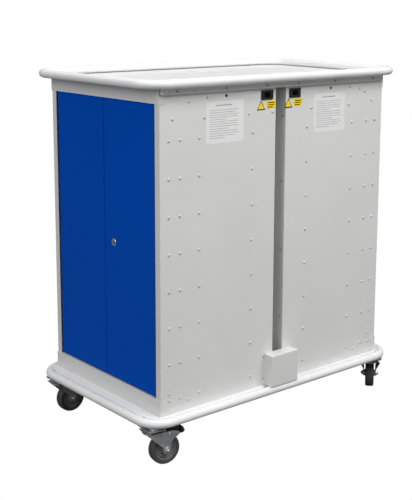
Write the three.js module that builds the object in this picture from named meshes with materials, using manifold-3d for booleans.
// Double-bay storage and charging trolley: two sheet-steel cabinets with double end doors, back to back
// across a cable channel, on one castored platform with a tube bumper, under a top deck with a tube rail.
// Millimetres, +Z up. X runs along the trolley from door end to door end, Y across it. The origin is on the
// floor under the middle of the platform. "left" is -X, "right" is +X, "front" is -Y, "rear" is +Y.

import * as THREE from 'three';
import { mergeVertices } from 'three/addons/utils/BufferGeometryUtils.js';
import Module from 'manifold-3d';

const wasm = await Module();
wasm.setup();

// ---------------------------------------------------------------- driving dimensions

const BLOCK_LENGTH = 980; // door end to door end, both cabinets and the channel
const CABINET_WIDTH = 596;
const CHANNEL = 45; // gap between the two back panels
const PANEL_HEIGHT = 994; // side panels, from the deck up
const DECK_HEIGHT = 164; // floor to the platform's deck

const SHEET = 1.2; // folded sheet of the cabinets
const PLATE = 2; // heavier sheet of the deck and the top
const FIT_GAP = 0.3; // between pieces that touch
const RUNNING_GAP = 0.3; // round pins and rods that turn

const RAIL_RADIUS = 14; // tube of the bumper and of the top rail
const RAIL_CORNER = 78; // bend radius on the tube's centre line
const RAIL_BEND_STEPS = 8; // facets round each bend, shared by the sheets that lie along it
const SHEET_BEND_SEGMENTS = RAIL_BEND_STEPS / 2; // gives an outline's arc the same facets
const RAIL_BEYOND_ENDS = 51; // tube centre outside the door ends
const RAIL_BEYOND_SIDES = 28; // tube centre outside the side panels
const BUMPER_LEVEL = -12; // tube centre above the deck
const TOP_RAIL_LEVEL = 1028;
const TOP_SURFACE = 1016; // upper face of the top panels, near the level of the rail's underside
const TOP_SEAM = -65; // X of the line where the two top panels meet

const STILE = 22.5; // width of the door frame's uprights
const FASCIA_PROUD = 2.5; // header and plinth stand this far in front of the stiles
const PLINTH_TOP = 53;
const HEADER_BOTTOM = 968;
const HEADER_TOP = 1012;
const HEADER_TAB = 14.5; // header's ears on the side panels, behind the stile face
const PLINTH_TAB = 20;

const DOOR_RECESS = 3; // door face behind the stile face
const DOOR_THICKNESS = 18;
const DOOR_SIDE_GAP = 3; // to the stile, and to the header and plinth
const HALF_SPLIT = 1; // half the gap where the leaves meet
const HINGE_SETBACK = 8; // hinge axis inside the leaf's face and edge, also the edge's bend radius
const HINGE_ROD_RADIUS = 3;

const SHELF_COUNT = 7; // plus the floor tray, eight levels in all
const SHELF_PITCH = 116;
const SHELF_FRONT = 28; // behind the stile face
const PARTITION = 384; // shelves end at this partition, with the mains compartment behind it
const SHELF_FLANGE = 15;

const LOCK_LEVEL = 509;
const LOCK_FROM_SPLIT = 52.5;
const LOCK_PLUG_RADIUS = 6;
const CAM_LENGTH = 66;

const CASTOR_BEYOND_END = 14; // swivel axis outside the door end
const CASTOR_INSIDE_SIDE = 27; // swivel axis inside the side panel's face
const CASTOR_HEIGHT = 130;
const WHEEL_RADIUS = 50;
const WHEEL_TRAIL = 42;
const FORK_INNER = 20.5; // half the space between the fork's legs
const FORK_LEG = 3;
const AXLE_RADIUS = 6;
const PEDAL_PIVOT = new THREE.Vector2(47, 105.4); // behind the swivel axis, above the floor

// ---------------------------------------------------------------- derived dimensions

const HALF_BLOCK = BLOCK_LENGTH / 2;
const HALF_WIDTH = CABINET_WIDTH / 2;
const CABINET_LENGTH = (BLOCK_LENGTH - CHANNEL) / 2;
const INSIDE_HALF_WIDTH = HALF_WIDTH - SHEET - FIT_GAP; // room between the side panels
const DOOR_BACK = DOOR_RECESS + DOOR_THICKNESS;
const DOOR_EDGE = HALF_WIDTH - STILE - DOOR_SIDE_GAP;
const HINGE_X = DOOR_RECESS + HINGE_SETBACK;
const HINGE_Y = DOOR_EDGE - HINGE_SETBACK;
const RAIL_HALF_LENGTH = HALF_BLOCK + RAIL_BEYOND_ENDS;
const RAIL_HALF_WIDTH = HALF_WIDTH + RAIL_BEYOND_SIDES;

// ---------------------------------------------------------------- materials

const finish = (color, roughness, metalness) => new THREE.MeshStandardMaterial({ color, roughness, metalness });

const MATERIALS = {
  whitePaint: finish(0xececee, 0.3, 0.0),
  greyPaint: finish(0xc4c4c2, 0.45, 0.0),
  bluePaint: finish(0x003a91, 0.25, 0.0),
  galvanised: finish(0xa8abad, 0.4, 0.8),
  chrome: finish(0xd5d7d9, 0.15, 1.0),
  zinc: finish(0x84878a, 0.35, 0.8),
  blackPlastic: finish(0x151617, 0.45, 0.0),
  tyreRubber: finish(0x404142, 0.7, 0.0),
  hubPlastic: finish(0x6b6d6f, 0.5, 0.0),
};

// ---------------------------------------------------------------- solids

function toSolid(geometry) {
  const bare = geometry.clone();
  bare.deleteAttribute('normal');
  bare.deleteAttribute('uv');
  const welded = mergeVertices(bare, 1e-4);
  const mesh = new wasm.Mesh({
    numProp: 3,
    vertProperties: new Float32Array(welded.attributes.position.array),
    triVerts: new Uint32Array(welded.index.array),
  });
  return new wasm.Manifold(mesh);
}

function toGeometry(solid) {
  const mesh = solid.getMesh();
  const geometry = new THREE.BufferGeometry();
  geometry.setAttribute('position', new THREE.BufferAttribute(new Float32Array(mesh.vertProperties), 3));
  geometry.setIndex(new THREE.BufferAttribute(new Uint32Array(mesh.triVerts), 1));
  geometry.computeVertexNormals();
  return geometry;
}

/** Joins the pieces into one solid, then cuts the tools out of it. */
function build(pieces, tools = []) {
  let solid = toSolid(pieces[0]);
  for (const piece of pieces.slice(1)) {
    solid = solid.add(toSolid(piece));
  }
  for (const tool of tools) {
    solid = solid.subtract(toSolid(tool));
  }
  return toGeometry(solid);
}

/** The part of space that both shapes fill. */
function common(first, second) {
  return toGeometry(toSolid(first).intersect(toSolid(second)));
}

/** A box from its limits along X, Y and Z. */
function box([x0, x1], [y0, y1], [z0, z1]) {
  const geometry = new THREE.BoxGeometry(x1 - x0, y1 - y0, z1 - z0);
  return geometry.translate((x0 + x1) / 2, (y0 + y1) / 2, (z0 + z1) / 2);
}

/** A plan outline (X, Y) raised from z0 to z1. */
function raise(shape, [z0, z1], curveSegments = 6) {
  const geometry = new THREE.ExtrudeGeometry(shape, { depth: z1 - z0, bevelEnabled: false, curveSegments });
  return geometry.translate(0, 0, z0);
}

/** A side outline (X, Z) given thickness from y0 to y1. */
function thicken(shape, [y0, y1], curveSegments = 6) {
  const geometry = new THREE.ExtrudeGeometry(shape, { depth: y1 - y0, bevelEnabled: false, curveSegments });
  return geometry.rotateX(Math.PI / 2).translate(0, y1, 0);
}

/** An upright cylinder from z0 to z1. */
function post(radius, [z0, z1], segments = 16) {
  const geometry = new THREE.CylinderGeometry(radius, radius, z1 - z0, segments);
  return geometry.rotateX(Math.PI / 2).translate(0, 0, (z0 + z1) / 2);
}

/** A cross-section outline (Y, Z) carried along X from x0 to x1. */
function carry(shape, [x0, x1]) {
  const geometry = new THREE.ExtrudeGeometry(shape, { depth: x1 - x0, bevelEnabled: false });
  return geometry.rotateX(Math.PI / 2).rotateZ(Math.PI / 2).translate(x0, 0, 0);
}

/** A cylinder along X from x0 to x1. */
function barAlongX(radius, [x0, x1], segments = 20) {
  const geometry = new THREE.CylinderGeometry(radius, radius, x1 - x0, segments);
  return geometry.rotateZ(Math.PI / 2).translate((x0 + x1) / 2, 0, 0);
}

/** A cylinder along Y from y0 to y1. */
function barAlongY(radius, [y0, y1], segments = 16) {
  const geometry = new THREE.CylinderGeometry(radius, radius, y1 - y0, segments);
  return geometry.translate(0, (y0 + y1) / 2, 0);
}

/** A plan rectangle centred on the origin, with round corners. */
function roundedRectangle(halfX, halfY, radius) {
  const shape = new THREE.Shape();
  shape.absarc(halfX - radius, halfY - radius, radius, 0, Math.PI / 2);
  shape.absarc(-halfX + radius, halfY - radius, radius, Math.PI / 2, Math.PI);
  shape.absarc(-halfX + radius, -halfY + radius, radius, Math.PI, 1.5 * Math.PI);
  shape.absarc(halfX - radius, -halfY + radius, radius, 1.5 * Math.PI, 2 * Math.PI);
  shape.closePath();
  return shape;
}

/** The same solid on the other side of the plane through the origin that is square to the axis. */
function mirrored(geometry, axis) {
  const copy = geometry.clone();
  copy.scale(axis === 'x' ? -1 : 1, axis === 'y' ? -1 : 1, 1);
  const index = copy.index ?? new THREE.BufferAttribute(
    Uint32Array.from({ length: copy.attributes.position.count }, (_, i) => i), 1);
  const turned = new Uint32Array(index.array);
  for (let i = 0; i < turned.length; i += 3) {
    [turned[i + 1], turned[i + 2]] = [turned[i + 2], turned[i + 1]];
  }
  copy.setIndex(new THREE.BufferAttribute(turned, 1));
  copy.computeVertexNormals();
  return copy;
}

function addPart(group, name, geometry, material) {
  const mesh = new THREE.Mesh(geometry, material);
  mesh.name = name;
  group.add(mesh);
  return mesh;
}

// ---------------------------------------------------------------- tube rails

/** The rail's closed centre line: four quarter bends joined by straights, one station per bend step. */
class RailLoop extends THREE.Curve {
  constructor(halfX, halfY, radius, stepsPerBend) {
    super();
    this.stations = [];
    for (let bend = 0; bend < 4; bend += 1) {
      const centre = new THREE.Vector3(
        (halfX - radius) * (bend === 0 || bend === 3 ? 1 : -1),
        (halfY - radius) * (bend < 2 ? 1 : -1),
        0,
      );
      for (let step = 0; step <= stepsPerBend; step += 1) {
        const angle = (bend + step / stepsPerBend) * Math.PI / 2;
        const outward = new THREE.Vector3(Math.cos(angle), Math.sin(angle), 0);
        this.stations.push({
          point: centre.clone().addScaledVector(outward, radius),
          tangent: new THREE.Vector3(-outward.y, outward.x, 0),
        });
      }
    }
  }

  station(u) {
    const count = this.stations.length;
    return this.stations[Math.round(u * count) % count];
  }

  getPointAt(u, target = new THREE.Vector3()) {
    return target.copy(this.station(u).point);
  }

  getTangentAt(u, target = new THREE.Vector3()) {
    return target.copy(this.station(u).tangent);
  }
}

function railGeometry() {
  const loop = new RailLoop(RAIL_HALF_LENGTH, RAIL_HALF_WIDTH, RAIL_CORNER, RAIL_BEND_STEPS);
  const closedTube = new THREE.TubeGeometry(loop, loop.stations.length, RAIL_RADIUS, 16, true);
  return build([closedTube]);
}

/** How far a sheet's edge stays inside the rail's centre line, for a sheet this far above or below it. */
function railClearance(offset) {
  return Math.sqrt(RAIL_RADIUS ** 2 - offset ** 2) + FIT_GAP;
}

// ---------------------------------------------------------------- platform

const BEARER_INNER = 462; // castor bearers, from the middle of the trolley
const BEARER_OUTER = 524;
const BEARER_HALF_LENGTH = 304;
const BEARER_WALL = 3;
const OUTER_WEB_HALF_LENGTH = 262; // stops short of the bumper's bends
const SILL_DEPTH = 26; // edge stiffeners under the deck, along the long sides
const DRAIN_LENGTH = 16;
const DRAIN_DEPTH = 5;

function platformGeometry() {
  const deckUnderside = -PLATE;
  const inside = railClearance(deckUnderside - BUMPER_LEVEL);
  const halfX = RAIL_HALF_LENGTH - inside;
  const halfY = RAIL_HALF_WIDTH - inside;
  const bearerBottom = CASTOR_HEIGHT + FIT_GAP - DECK_HEIGHT;
  const outline = roundedRectangle(halfX, halfY, RAIL_CORNER - inside);
  const pieces = [raise(outline, [deckUnderside, 0], SHEET_BEND_SEGMENTS)];
  for (const end of [-1, 1]) {
    const across = [-BEARER_HALF_LENGTH, BEARER_HALF_LENGTH];
    const between = (a, b) => [Math.min(end * a, end * b), Math.max(end * a, end * b)];
    pieces.push(box(between(BEARER_INNER, BEARER_OUTER), across, [bearerBottom, bearerBottom + BEARER_WALL]));
    pieces.push(box(between(BEARER_INNER, BEARER_INNER + BEARER_WALL), across, [bearerBottom, -1]));
    pieces.push(box(between(BEARER_OUTER - BEARER_WALL, BEARER_OUTER),
      [-OUTER_WEB_HALF_LENGTH, OUTER_WEB_HALF_LENGTH], [bearerBottom, -1]));
    pieces.push(box([-BEARER_INNER - 1, BEARER_INNER + 1],
      between(BEARER_HALF_LENGTH - BEARER_WALL, BEARER_HALF_LENGTH), [-SILL_DEPTH, -1]));
  }
  return build(pieces, drainSlots(halfX, halfY));
}

/** Notches in the deck's edge against the bumper, near each corner and beside the channel. */
function drainSlots(halfX, halfY) {
  const slots = [];
  const alongEnd = HALF_WIDTH - 34;
  for (const x of [-1, 1]) {
    for (const y of [-1, 1]) {
      const endNotch = box([-DRAIN_DEPTH, DRAIN_DEPTH], [-DRAIN_LENGTH / 2, DRAIN_LENGTH / 2], [-5, 1]);
      slots.push(endNotch.translate(x * halfX, y * alongEnd, 0));
      for (const alongSide of [HALF_BLOCK - 2, 66]) {
        const sideNotch = box([-DRAIN_LENGTH / 2, DRAIN_LENGTH / 2], [-DRAIN_DEPTH, DRAIN_DEPTH], [-5, 1]);
        slots.push(sideNotch.translate(x * alongSide, y * halfY, 0));
      }
    }
  }
  return slots;
}

// ---------------------------------------------------------------- cable cover at the channel's foot

const COVER_HALF_LENGTH = 60;
const COVER_DEPTH = 40;
const COVER_BOTTOM = 2.5;
const COVER_TOP = 110;
const COVER_FLANGE = 7;

/** A box open at the back and the bottom, with a screw flange down each side, over the bumper. */
function cableCoverGeometry() {
  const back = -HALF_WIDTH - FIT_GAP;
  const front = back - COVER_DEPTH;
  const shell = box([-COVER_HALF_LENGTH, COVER_HALF_LENGTH], [front, back], [COVER_BOTTOM, COVER_TOP]);
  const flangeEnd = COVER_HALF_LENGTH + COVER_FLANGE;
  const flanges = box([-flangeEnd, flangeEnd], [back - SHEET, back], [COVER_BOTTOM, COVER_TOP - 4]);
  const inside = box(
    [-COVER_HALF_LENGTH + SHEET, COVER_HALF_LENGTH - SHEET],
    [front + SHEET, back + 1],
    [COVER_BOTTOM - 1, COVER_TOP - SHEET],
  );
  return build([shell, flanges], [inside]);
}

// ---------------------------------------------------------------- top frame and top panels

const TOP_SKIRT_PROUD = 10; // long-side skirts stand outside the side panels
const TOP_SKIRT_BOTTOM = PANEL_HEIGHT + 1.3;
const TOP_FRAME_TOP = TOP_SURFACE - PLATE - FIT_GAP;
const TOP_FRAME_END = HALF_BLOCK - 1.5;
const TOP_FRAME_CORNER = 10; // clears the rail's bends
const TOP_SKIRT_LEDGE = 9; // turned-in lower edge of the long skirts

/** An inverted tray that roofs both cabinets and carries the rail and the top panels. */
function topFrameGeometry() {
  const halfY = HALF_WIDTH + TOP_SKIRT_PROUD;
  const upright = [TOP_SKIRT_BOTTOM, TOP_FRAME_TOP];
  const shell = raise(roundedRectangle(TOP_FRAME_END, halfY, TOP_FRAME_CORNER), upright);
  const inside = raise(
    roundedRectangle(TOP_FRAME_END - PLATE, halfY - PLATE, TOP_FRAME_CORNER - PLATE),
    [TOP_SKIRT_BOTTOM + PLATE, TOP_FRAME_TOP - PLATE],
  );
  const mouth = box(
    [-TOP_FRAME_END + PLATE, TOP_FRAME_END - PLATE],
    [-halfY + PLATE + TOP_SKIRT_LEDGE, halfY - PLATE - TOP_SKIRT_LEDGE],
    [TOP_SKIRT_BOTTOM - 1, TOP_SKIRT_BOTTOM + PLATE + 1],
  );
  return build([shell], [inside, mouth]);
}

/** A panel from its inner edge out to the right-hand end, with two round corners, clear of the tube's widest line. */
function topPanelGeometry(innerEdge) {
  const inside = railClearance(0);
  const halfX = RAIL_HALF_LENGTH - inside;
  const halfY = RAIL_HALF_WIDTH - inside;
  const radius = RAIL_CORNER - inside;
  const outline = new THREE.Shape();
  outline.moveTo(innerEdge, -halfY);
  outline.lineTo(halfX - radius, -halfY);
  outline.absarc(halfX - radius, -halfY + radius, radius, -Math.PI / 2, 0);
  outline.absarc(halfX - radius, halfY - radius, radius, 0, Math.PI / 2);
  outline.lineTo(innerEdge, halfY);
  outline.closePath();
  return build([raise(outline, [TOP_SURFACE - PLATE, TOP_SURFACE], SHEET_BEND_SEGMENTS)]);
}

// ---------------------------------------------------------------- cabinet
// A cabinet's pieces are drawn for the left cabinet, in a frame whose X starts at the stile face and runs
// inwards, whose Y is centred, and whose Z starts at the deck.

/** Header, plinth and stiles in one welded frame; header and plinth wrap the corners as small ears. */
function doorFrameGeometry() {
  const face = [-FASCIA_PROUD, -FASCIA_PROUD + SHEET];
  const earOuter = HALF_WIDTH + FIT_GAP + SHEET;
  const fullWidth = [-earOuter, earOuter];
  const returnWidth = [-INSIDE_HALF_WIDTH, INSIDE_HALF_WIDTH];
  const returnDepth = [-FASCIA_PROUD, DOOR_BACK + 1];
  const pieces = [
    box(face, fullWidth, [HEADER_BOTTOM, HEADER_TOP]),
    box(face, fullWidth, [FIT_GAP, PLINTH_TOP]),
    box(returnDepth, returnWidth, [HEADER_BOTTOM, HEADER_BOTTOM + SHEET]),
    box(returnDepth, returnWidth, [PLINTH_TOP - SHEET, PLINTH_TOP]),
  ];
  for (const side of [-1, 1]) {
    const between = (a, b) => [Math.min(side * a, side * b), Math.max(side * a, side * b)];
    const ear = between(HALF_WIDTH + FIT_GAP, earOuter);
    pieces.push(box([0, SHEET], between(HALF_WIDTH - STILE, HALF_WIDTH), [PLINTH_TOP - SHEET, HEADER_BOTTOM + SHEET]));
    pieces.push(box([-FASCIA_PROUD, HEADER_TAB], ear, [HEADER_BOTTOM, PANEL_HEIGHT]));
    pieces.push(box([-FASCIA_PROUD, PLINTH_TAB], ear, [FIT_GAP, PLINTH_TOP - 3]));
  }
  return build(pieces);
}

const INLET_X = 428.5; // centre of the mains inlet, on the front panel near the channel
const INLET_Z = 973;
const PILOT_HOLE = { x: 259, z: 980, radius: 5 };

/** The panel on the front (-Y) long side, with the inlet's cut-out and the pilot lamp's hole. */
function frontPanelGeometry() {
  const cutout = box(
    [INLET_X - INLET_BODY.x / 2 - 0.5, INLET_X + INLET_BODY.x / 2 + 0.5],
    [-HALF_WIDTH - 1, -HALF_WIDTH + SHEET + 1],
    [INLET_Z - INLET_BODY.z / 2 - 0.5, INLET_Z + INLET_BODY.z / 2 + 0.5],
  );
  const pilotHole = barAlongY(PILOT_HOLE.radius, [-HALF_WIDTH - 1, -HALF_WIDTH + SHEET + 1]);
  pilotHole.translate(PILOT_HOLE.x, 0, PILOT_HOLE.z);
  return build([mirrored(rearPanelGeometry(), 'y')], [cutout, pilotHole]);
}

function rearPanelGeometry() {
  return box([SHEET + FIT_GAP, CABINET_LENGTH], [HALF_WIDTH - SHEET, HALF_WIDTH], [FIT_GAP, PANEL_HEIGHT]);
}

function backPanelGeometry() {
  return box(
    [CABINET_LENGTH - SHEET, CABINET_LENGTH], [-INSIDE_HALF_WIDTH, INSIDE_HALF_WIDTH], [FIT_GAP, PANEL_HEIGHT]);
}

/** A flat sheet with its two side edges turned down, as the floor tray and every shelf have. */
function shelfPieces(x0, x1, level) {
  const pieces = [box([x0, x1], [-INSIDE_HALF_WIDTH, INSIDE_HALF_WIDTH], [level - SHEET, level])];
  for (const side of [-1, 1]) {
    const flange = box([x0, x1], [-SHEET / 2, SHEET / 2], [level - SHELF_FLANGE, level]);
    pieces.push(flange.translate(0, side * (INSIDE_HALF_WIDTH - SHEET / 2), 0));
  }
  return pieces;
}

function floorTrayGeometry() {
  return build(shelfPieces(DOOR_BACK + 1 + FIT_GAP, CABINET_LENGTH - SHEET - FIT_GAP, PLINTH_TOP));
}

/** The shelves and the partition that carries their rear edges. */
function shelfRackGeometry() {
  const partition = box(
    [PARTITION, PARTITION + SHEET], [-INSIDE_HALF_WIDTH, INSIDE_HALF_WIDTH], [PLINTH_TOP + FIT_GAP, PANEL_HEIGHT - 4]);
  const pieces = [partition];
  for (let shelf = 1; shelf <= SHELF_COUNT; shelf += 1) {
    pieces.push(...shelfPieces(SHELF_FRONT, PARTITION + SHEET / 2, PLINTH_TOP + shelf * SHELF_PITCH));
  }
  return build(pieces);
}

/** Plan outline of a leaf, drawn inwards by an inset and run out behind the leaf by an overrun. */
function doorOutline(inset, overrun) {
  const outline = new THREE.Shape();
  outline.moveTo(DOOR_RECESS + inset, -HALF_SPLIT - inset);
  outline.lineTo(DOOR_RECESS + inset, -HINGE_Y);
  outline.absarc(HINGE_X, -HINGE_Y, HINGE_SETBACK - inset, Math.PI, 1.5 * Math.PI);
  outline.lineTo(DOOR_BACK + overrun, -DOOR_EDGE + inset);
  outline.lineTo(DOOR_BACK + overrun, -HALF_SPLIT - inset);
  outline.closePath();
  return outline;
}

const DOOR_BOTTOM = PLINTH_TOP + DOOR_SIDE_GAP;
const DOOR_TOP = HEADER_BOTTOM - DOOR_SIDE_GAP;
const LOCK_HOUSING_RADIUS = 9;

/** The front leaf: a folded pan, open at the back, its hinge edge bent round the hinge axis. */
function doorGeometry(withLock) {
  const pan = raise(doorOutline(0, 0), [DOOR_BOTTOM, DOOR_TOP], 8);
  const pocket = raise(doorOutline(SHEET, 1), [DOOR_BOTTOM + SHEET, DOOR_TOP - SHEET], 8);
  const rodHole = post(HINGE_ROD_RADIUS + RUNNING_GAP, [DOOR_BOTTOM - 1, DOOR_TOP + 1], 14);
  const tools = [pocket, rodHole.translate(HINGE_X, -HINGE_Y, 0)];
  if (withLock) {
    const lockHole = barAlongX(LOCK_HOUSING_RADIUS + FIT_GAP, [DOOR_RECESS - 1, DOOR_RECESS + SHEET + 1]);
    tools.push(lockHole.translate(0, -LOCK_FROM_SPLIT, LOCK_LEVEL));
  }
  return build([pan], tools);
}

function hingeRodGeometry() {
  const rod = post(HINGE_ROD_RADIUS, [PLINTH_TOP + FIT_GAP, HEADER_BOTTOM - FIT_GAP], 14);
  return rod.translate(HINGE_X, -HINGE_Y, 0);
}

/** The lock's fixed housing, centred on the plug's axis: a round bezel and a barrel through the door. */
function lockHousingGeometry() {
  const bezelFront = 0.2;
  const bezelBack = DOOR_RECESS - FIT_GAP;
  const bezel = barAlongX(12, [bezelFront, bezelBack], 24);
  const barrel = barAlongX(LOCK_HOUSING_RADIUS, [bezelBack - 1, DOOR_BACK - 2]);
  const bore = barAlongX(LOCK_PLUG_RADIUS + RUNNING_GAP, [bezelFront - 1, DOOR_BACK]);
  return build([bezel, barrel], [bore]);
}

/** The plug that the key turns, with the cam on its inner end, hanging down when unlocked. */
function lockPlugGeometry() {
  const face = -0.3;
  const camFront = DOOR_BACK + 1.3;
  const camBack = camFront + PLATE;
  const plug = barAlongX(LOCK_PLUG_RADIUS, [face, camBack]);
  const cam = box([camFront, camBack], [-6, 6], [-CAM_LENGTH, 8]);
  const keyway = box([face - 1, face + 4], [-0.8, 0.8], [-3.5, 3.5]).rotateX(-Math.PI / 4);
  return build([plug, cam], [keyway]);
}

const INLET_FLANGE = new THREE.Vector3(50, 3, 30);
const INLET_BODY = new THREE.Vector3(28, 28, 22);
const INLET_RECESS = new THREE.Vector3(24, 17, 16);
const PIN_SETBACK = 6; // pin tips behind the flange's face

/** A three-pin appliance inlet: flange outside, body inside, pins at the bottom of the recess. */
function mainsInletGeometry() {
  const back = -HALF_WIDTH - FIT_GAP;
  const front = back - INLET_FLANGE.y;
  const centred = (size) => [-size / 2, size / 2];
  const flange = box(centred(INLET_FLANGE.x), [front, back], centred(INLET_FLANGE.z));
  const body = box(centred(INLET_BODY.x), [back - 1, back + INLET_BODY.y], centred(INLET_BODY.z));
  const recess = box(centred(INLET_RECESS.x), [front - 1, front + INLET_RECESS.y], centred(INLET_RECESS.z));
  const pins = [[-7, -2], [0, 2], [7, -2]].map(([x, z]) => {
    const pin = box([-1, 1], [front + PIN_SETBACK, front + INLET_RECESS.y + 1], [-2, 2]);
    return toSolid(pin.translate(x, 0, z));
  });
  let solid = toSolid(build([flange, body], [recess]));
  for (const pin of pins) {
    solid = solid.add(pin);
  }
  return toGeometry(solid).translate(INLET_X, 0, INLET_Z);
}

const STRIP_DEPTH = 35;
const STRIP_HALF_WIDTH = 30;
const STRIP_BOTTOM = 120;
const STRIP_OUTLETS = 8;
const OUTLET_PITCH = 92;
const OUTLET_SIZE = 42;
const OUTLET_PROUD = 4;

/** The outlet strip that feeds the shelves, upright on the back panel inside the mains compartment. */
function socketStripGeometry() {
  const back = CABINET_LENGTH - SHEET - FIT_GAP;
  const front = back - STRIP_DEPTH;
  const top = STRIP_BOTTOM + STRIP_OUTLETS * OUTLET_PITCH;
  const strip = box([front, back], [-STRIP_HALF_WIDTH, STRIP_HALF_WIDTH], [STRIP_BOTTOM, top]);
  const square = [-OUTLET_SIZE / 2, OUTLET_SIZE / 2];
  const outlets = Array.from({ length: STRIP_OUTLETS }, (_, i) => {
    const outlet = box([front - OUTLET_PROUD, front + 1], square, square);
    return outlet.translate(0, 0, STRIP_BOTTOM + (i + 0.5) * OUTLET_PITCH);
  });
  return build([strip, ...outlets]);
}

function cabinetGroup(side) {
  const group = new THREE.Group();
  const towards = side === 'left' ? -1 : 1;
  group.position.set(towards * HALF_BLOCK, 0, DECK_HEIGHT);
  const add = (name, geometry, material) => {
    const handed = side === 'left' ? geometry : mirrored(geometry, 'x');
    return addPart(group, `${side}_${name}`, handed, material);
  };
  add('door_frame', doorFrameGeometry(), MATERIALS.greyPaint);
  add('side_panel_front', frontPanelGeometry(), MATERIALS.greyPaint);
  add('side_panel_rear', rearPanelGeometry(), MATERIALS.greyPaint);
  add('back_panel', backPanelGeometry(), MATERIALS.greyPaint);
  add('floor_tray', floorTrayGeometry(), MATERIALS.greyPaint);
  add('shelf_rack', shelfRackGeometry(), MATERIALS.greyPaint);
  add('door_front', doorGeometry(true), MATERIALS.bluePaint);
  add('door_rear', mirrored(doorGeometry(false), 'y'), MATERIALS.bluePaint);
  add('hinge_rod_front', hingeRodGeometry(), MATERIALS.galvanised);
  add('hinge_rod_rear', mirrored(hingeRodGeometry(), 'y'), MATERIALS.galvanised);
  for (const [name, geometry] of [['lock_housing', lockHousingGeometry()], ['lock_plug', lockPlugGeometry()]]) {
    add(name, geometry, MATERIALS.chrome).position.set(0, -LOCK_FROM_SPLIT, LOCK_LEVEL);
  }
  add('mains_inlet', mainsInletGeometry(), MATERIALS.blackPlastic);
  add('socket_strip', socketStripGeometry(), MATERIALS.blackPlastic);
  return group;
}

// ---------------------------------------------------------------- castor
// A castor is drawn with its swivel axis on Z, the floor at zero and the wheel trailing towards +X.

const CASTOR_PLATE = new THREE.Vector3(67, 95, 3.5);
const RACE_BOTTOM = 116;
const RACE_RADIUS = 29;
const CROWN_BOTTOM = 109;
const CROWN_TOP = RACE_BOTTOM - 0.5;
const CROWN_RADIUS = 31;
const FLARE_BOTTOM = 74; // the fork's legs spread between these levels
const FLARE_TOP = 106;
const KINGPIN_RADIUS = 6;
const KINGPIN_HEAD_RADIUS = 10;

/** Mounting plate, upper ball race and kingpin, which stay with the platform. */
function castorPlateGeometry() {
  const plateBottom = CASTOR_HEIGHT - CASTOR_PLATE.z;
  const plate = box(
    [-CASTOR_PLATE.x / 2, CASTOR_PLATE.x / 2], [-CASTOR_PLATE.y / 2, CASTOR_PLATE.y / 2], [plateBottom, CASTOR_HEIGHT]);
  const spindle = new THREE.LatheGeometry([
    new THREE.Vector2(0, plateBottom + 1),
    new THREE.Vector2(RACE_RADIUS - 3, plateBottom + 1),
    new THREE.Vector2(RACE_RADIUS, plateBottom - 5),
    new THREE.Vector2(RACE_RADIUS - 2, RACE_BOTTOM),
    new THREE.Vector2(KINGPIN_RADIUS, RACE_BOTTOM),
    new THREE.Vector2(KINGPIN_RADIUS, CROWN_BOTTOM - 0.5),
    new THREE.Vector2(KINGPIN_HEAD_RADIUS, CROWN_BOTTOM - 0.5),
    new THREE.Vector2(KINGPIN_HEAD_RADIUS, CROWN_BOTTOM - 6),
    new THREE.Vector2(0, CROWN_BOTTOM - 6),
  ].reverse(), 20);
  return build([plate, spindle.rotateX(Math.PI / 2)]);
}

/** Side outline (X, Z) of a fork leg: a broad wing over the wheel that narrows to the axle boss. */
function legOutline() {
  const bossRadius = 12;
  const outline = new THREE.Shape();
  outline.moveTo(-28, CROWN_TOP);
  outline.lineTo(-22, CROWN_BOTTOM);
  outline.lineTo(31, 55);
  outline.absarc(WHEEL_TRAIL, WHEEL_RADIUS, bossRadius, Math.PI * 0.9, Math.PI * 2);
  outline.lineTo(55, 68);
  outline.lineTo(60, 80);
  outline.lineTo(72, 89);
  outline.lineTo(84, 99);
  outline.quadraticCurveTo(87, 103, 82, 106);
  outline.quadraticCurveTo(70, CROWN_TOP, 54, CROWN_TOP);
  outline.closePath();
  return outline;
}

/** Cross-section (Y, Z) of a fork leg: upright beside the wheel, flared above it to the crown's width. */
function legSection() {
  const outline = new THREE.Shape();
  outline.moveTo(FORK_INNER, 0);
  outline.lineTo(FORK_INNER + FORK_LEG, 0);
  outline.lineTo(FORK_INNER + FORK_LEG, FLARE_BOTTOM);
  outline.lineTo(CROWN_RADIUS, FLARE_TOP);
  outline.lineTo(CROWN_RADIUS, CROWN_TOP);
  outline.lineTo(CROWN_RADIUS - FORK_LEG, CROWN_TOP);
  outline.lineTo(CROWN_RADIUS - FORK_LEG, FLARE_TOP);
  outline.lineTo(FORK_INNER, FLARE_BOTTOM);
  outline.closePath();
  return outline;
}

/** Pressed fork: a crown round the kingpin and two legs, with holes for the axle and the pedal's pin. */
function castorForkGeometry() {
  const disc = post(CROWN_RADIUS, [CROWN_BOTTOM, CROWN_TOP], 24);
  const bridge = raise(roundedRectangle(26, CROWN_RADIUS, 6), [CROWN_BOTTOM, CROWN_TOP]).translate(4, 0, 0);
  const leg = common(thicken(legOutline(), [0, CROWN_RADIUS + 1], 8), carry(legSection(), [-40, 100]));
  const kingpinHole = post(KINGPIN_RADIUS + RUNNING_GAP, [CROWN_BOTTOM - 1, CROWN_TOP + 1]);
  const through = [-CROWN_RADIUS - 1, CROWN_RADIUS + 1];
  const axleHole = barAlongY(AXLE_RADIUS + FIT_GAP, through).translate(WHEEL_TRAIL, 0, WHEEL_RADIUS);
  const pinHole = barAlongY(PEDAL_PIN_RADIUS + RUNNING_GAP, through, 12);
  pinHole.translate(PEDAL_PIVOT.x, 0, PEDAL_PIVOT.y);
  return build([disc, bridge, leg, mirrored(leg, 'y')], [kingpinHole, axleHole, pinHole]);
}

const TYRE_HALF_WIDTH = 16;
const TYRE_INNER_RADIUS = 36;
const HUB_BOSS_HALF_WIDTH = 19.5;

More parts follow.
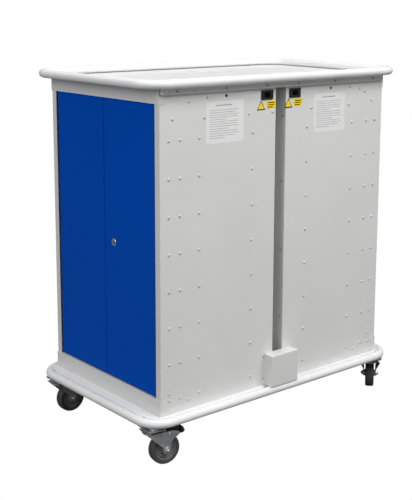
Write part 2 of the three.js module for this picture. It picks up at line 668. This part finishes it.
/** A ring or wheel turned about Y from its profile of (radius, offset along Y) points. */
function turned(profile, segments) {
  const points = profile.map(([radius, offset]) => new THREE.Vector2(radius, offset));
  return build([new THREE.LatheGeometry(points, segments)]);
}

function tyreGeometry() {
  return turned([
    [TYRE_INNER_RADIUS, -13],
    [43, -TYRE_HALF_WIDTH + 1],
    [47, -TYRE_HALF_WIDTH],
    [WHEEL_RADIUS, -9],
    [WHEEL_RADIUS, 9],
    [47, TYRE_HALF_WIDTH],
    [43, TYRE_HALF_WIDTH - 1],
    [TYRE_INNER_RADIUS, 13],
    [TYRE_INNER_RADIUS, -13],
  ], 36);
}

function hubGeometry() {
  const rim = TYRE_INNER_RADIUS - FIT_GAP;
  const bore = AXLE_RADIUS + RUNNING_GAP;
  return turned([
    [bore, -HUB_BOSS_HALF_WIDTH],
    [12, -HUB_BOSS_HALF_WIDTH],
    [14, -9],
    [28, -9],
    [rim, -14],
    [rim, 14],
    [28, 9],
    [14, 9],
    [12, HUB_BOSS_HALF_WIDTH],
    [bore, HUB_BOSS_HALF_WIDTH],
    [bore, -HUB_BOSS_HALF_WIDTH],
  ], 24);
}

/** Axle bolt with a hexagon head on one side and a nut on the other. */
function axleGeometry() {
  const legFace = FORK_INNER + FORK_LEG + FIT_GAP;
  const shank = barAlongY(AXLE_RADIUS, [-legFace - 3, legFace + 3]);
  const hexagons = [[-legFace - 5, -legFace], [legFace, legFace + 6]].map((across) => barAlongY(9.5, across, 6));
  return build([shank, ...hexagons]);
}

const PEDAL_PIN_RADIUS = 3;
const PEDAL_HALF_WIDTH = FORK_INNER - FIT_GAP;
const PEDAL_TIP_HALF_WIDTH = 27;

/** Brake pedal: a hood between the legs over the tyre, widening behind them into the tread plate. */
function brakePedalGeometry() {
  const hood = new THREE.Shape();
  hood.moveTo(33, 104);
  hood.lineTo(60, 102.5);
  hood.lineTo(76, 98);
  hood.lineTo(90, 97);
  hood.lineTo(98, 99);
  hood.quadraticCurveTo(104, 102, 103, 108);
  hood.lineTo(97, 116);
  hood.quadraticCurveTo(82, 122.5, 64, 122.5);
  hood.lineTo(38, 121);
  hood.quadraticCurveTo(33, 119, 33, 104);
  const treadPlate = new THREE.Shape();
  treadPlate.moveTo(88, 97.2);
  treadPlate.lineTo(90, 97);
  treadPlate.lineTo(98, 99);
  treadPlate.quadraticCurveTo(104, 102, 103, 108);
  treadPlate.lineTo(97, 116);
  treadPlate.lineTo(88, 118.5);
  treadPlate.closePath();
  const pin = barAlongY(PEDAL_PIN_RADIUS, [-CROWN_RADIUS - 0.5, CROWN_RADIUS + 0.5], 12);
  return build([
    thicken(hood, [-PEDAL_HALF_WIDTH, PEDAL_HALF_WIDTH], 4),
    thicken(treadPlate, [-PEDAL_TIP_HALF_WIDTH, PEDAL_TIP_HALF_WIDTH], 4),
    pin.translate(PEDAL_PIVOT.x, 0, PEDAL_PIVOT.y),
  ]);
}

const CASTOR_PIECES = [
  ['castor_plate', castorPlateGeometry(), MATERIALS.zinc, 0, 0],
  ['castor_fork', castorForkGeometry(), MATERIALS.zinc, 0, 0],
  ['castor_tyre', tyreGeometry(), MATERIALS.tyreRubber, WHEEL_TRAIL, WHEEL_RADIUS],
  ['castor_hub', hubGeometry(), MATERIALS.hubPlastic, WHEEL_TRAIL, WHEEL_RADIUS],
  ['castor_axle', axleGeometry(), MATERIALS.zinc, WHEEL_TRAIL, WHEEL_RADIUS],
  ['brake_pedal', brakePedalGeometry(), MATERIALS.blackPlastic, 0, 0],
];

/** A castor at one corner, turned about its swivel axis by the heading of its trailing wheel. */
function castorGroup(corner, { x, y, heading }) {
  const fixed = new THREE.Group();
  fixed.position.set(x * (HALF_BLOCK + CASTOR_BEYOND_END), y * (HALF_WIDTH - CASTOR_INSIDE_SIDE), 0);
  const swivel = new THREE.Group();
  swivel.rotation.z = THREE.MathUtils.degToRad(heading);
  fixed.add(swivel);
  for (const [name, geometry, material, along, up] of CASTOR_PIECES) {
    const holder = name === 'castor_plate' ? fixed : swivel;
    addPart(holder, `${corner}_${name}`, geometry, material).position.set(along, 0, up);
  }
  return fixed;
}

const CASTOR_CORNERS = {
  front_left: { x: -1, y: -1, heading: -8 },
  rear_left: { x: -1, y: 1, heading: 0 },
  front_right: { x: 1, y: -1, heading: 42 },
  rear_right: { x: 1, y: 1, heading: 160 },
};

// ---------------------------------------------------------------- trolley

const trolley = new THREE.Group();

const chassis = new THREE.Group();
chassis.position.z = DECK_HEIGHT;
addPart(chassis, 'platform', platformGeometry(), MATERIALS.whitePaint);
addPart(chassis, 'bumper_rail', railGeometry(), MATERIALS.whitePaint).position.z = BUMPER_LEVEL;
addPart(chassis, 'cable_cover', cableCoverGeometry(), MATERIALS.greyPaint);
addPart(chassis, 'top_frame', topFrameGeometry(), MATERIALS.greyPaint);
addPart(chassis, 'top_rail', railGeometry(), MATERIALS.whitePaint).position.z = TOP_RAIL_LEVEL;
addPart(chassis, 'right_top_panel', topPanelGeometry(TOP_SEAM + FIT_GAP), MATERIALS.whitePaint);
addPart(chassis, 'left_top_panel', mirrored(topPanelGeometry(FIT_GAP - TOP_SEAM), 'x'), MATERIALS.whitePaint);
trolley.add(chassis);

trolley.add(cabinetGroup('left'), cabinetGroup('right'));

for (const [corner, place] of Object.entries(CASTOR_CORNERS)) {
  trolley.add(castorGroup(corner, place));
}

export default trolley;
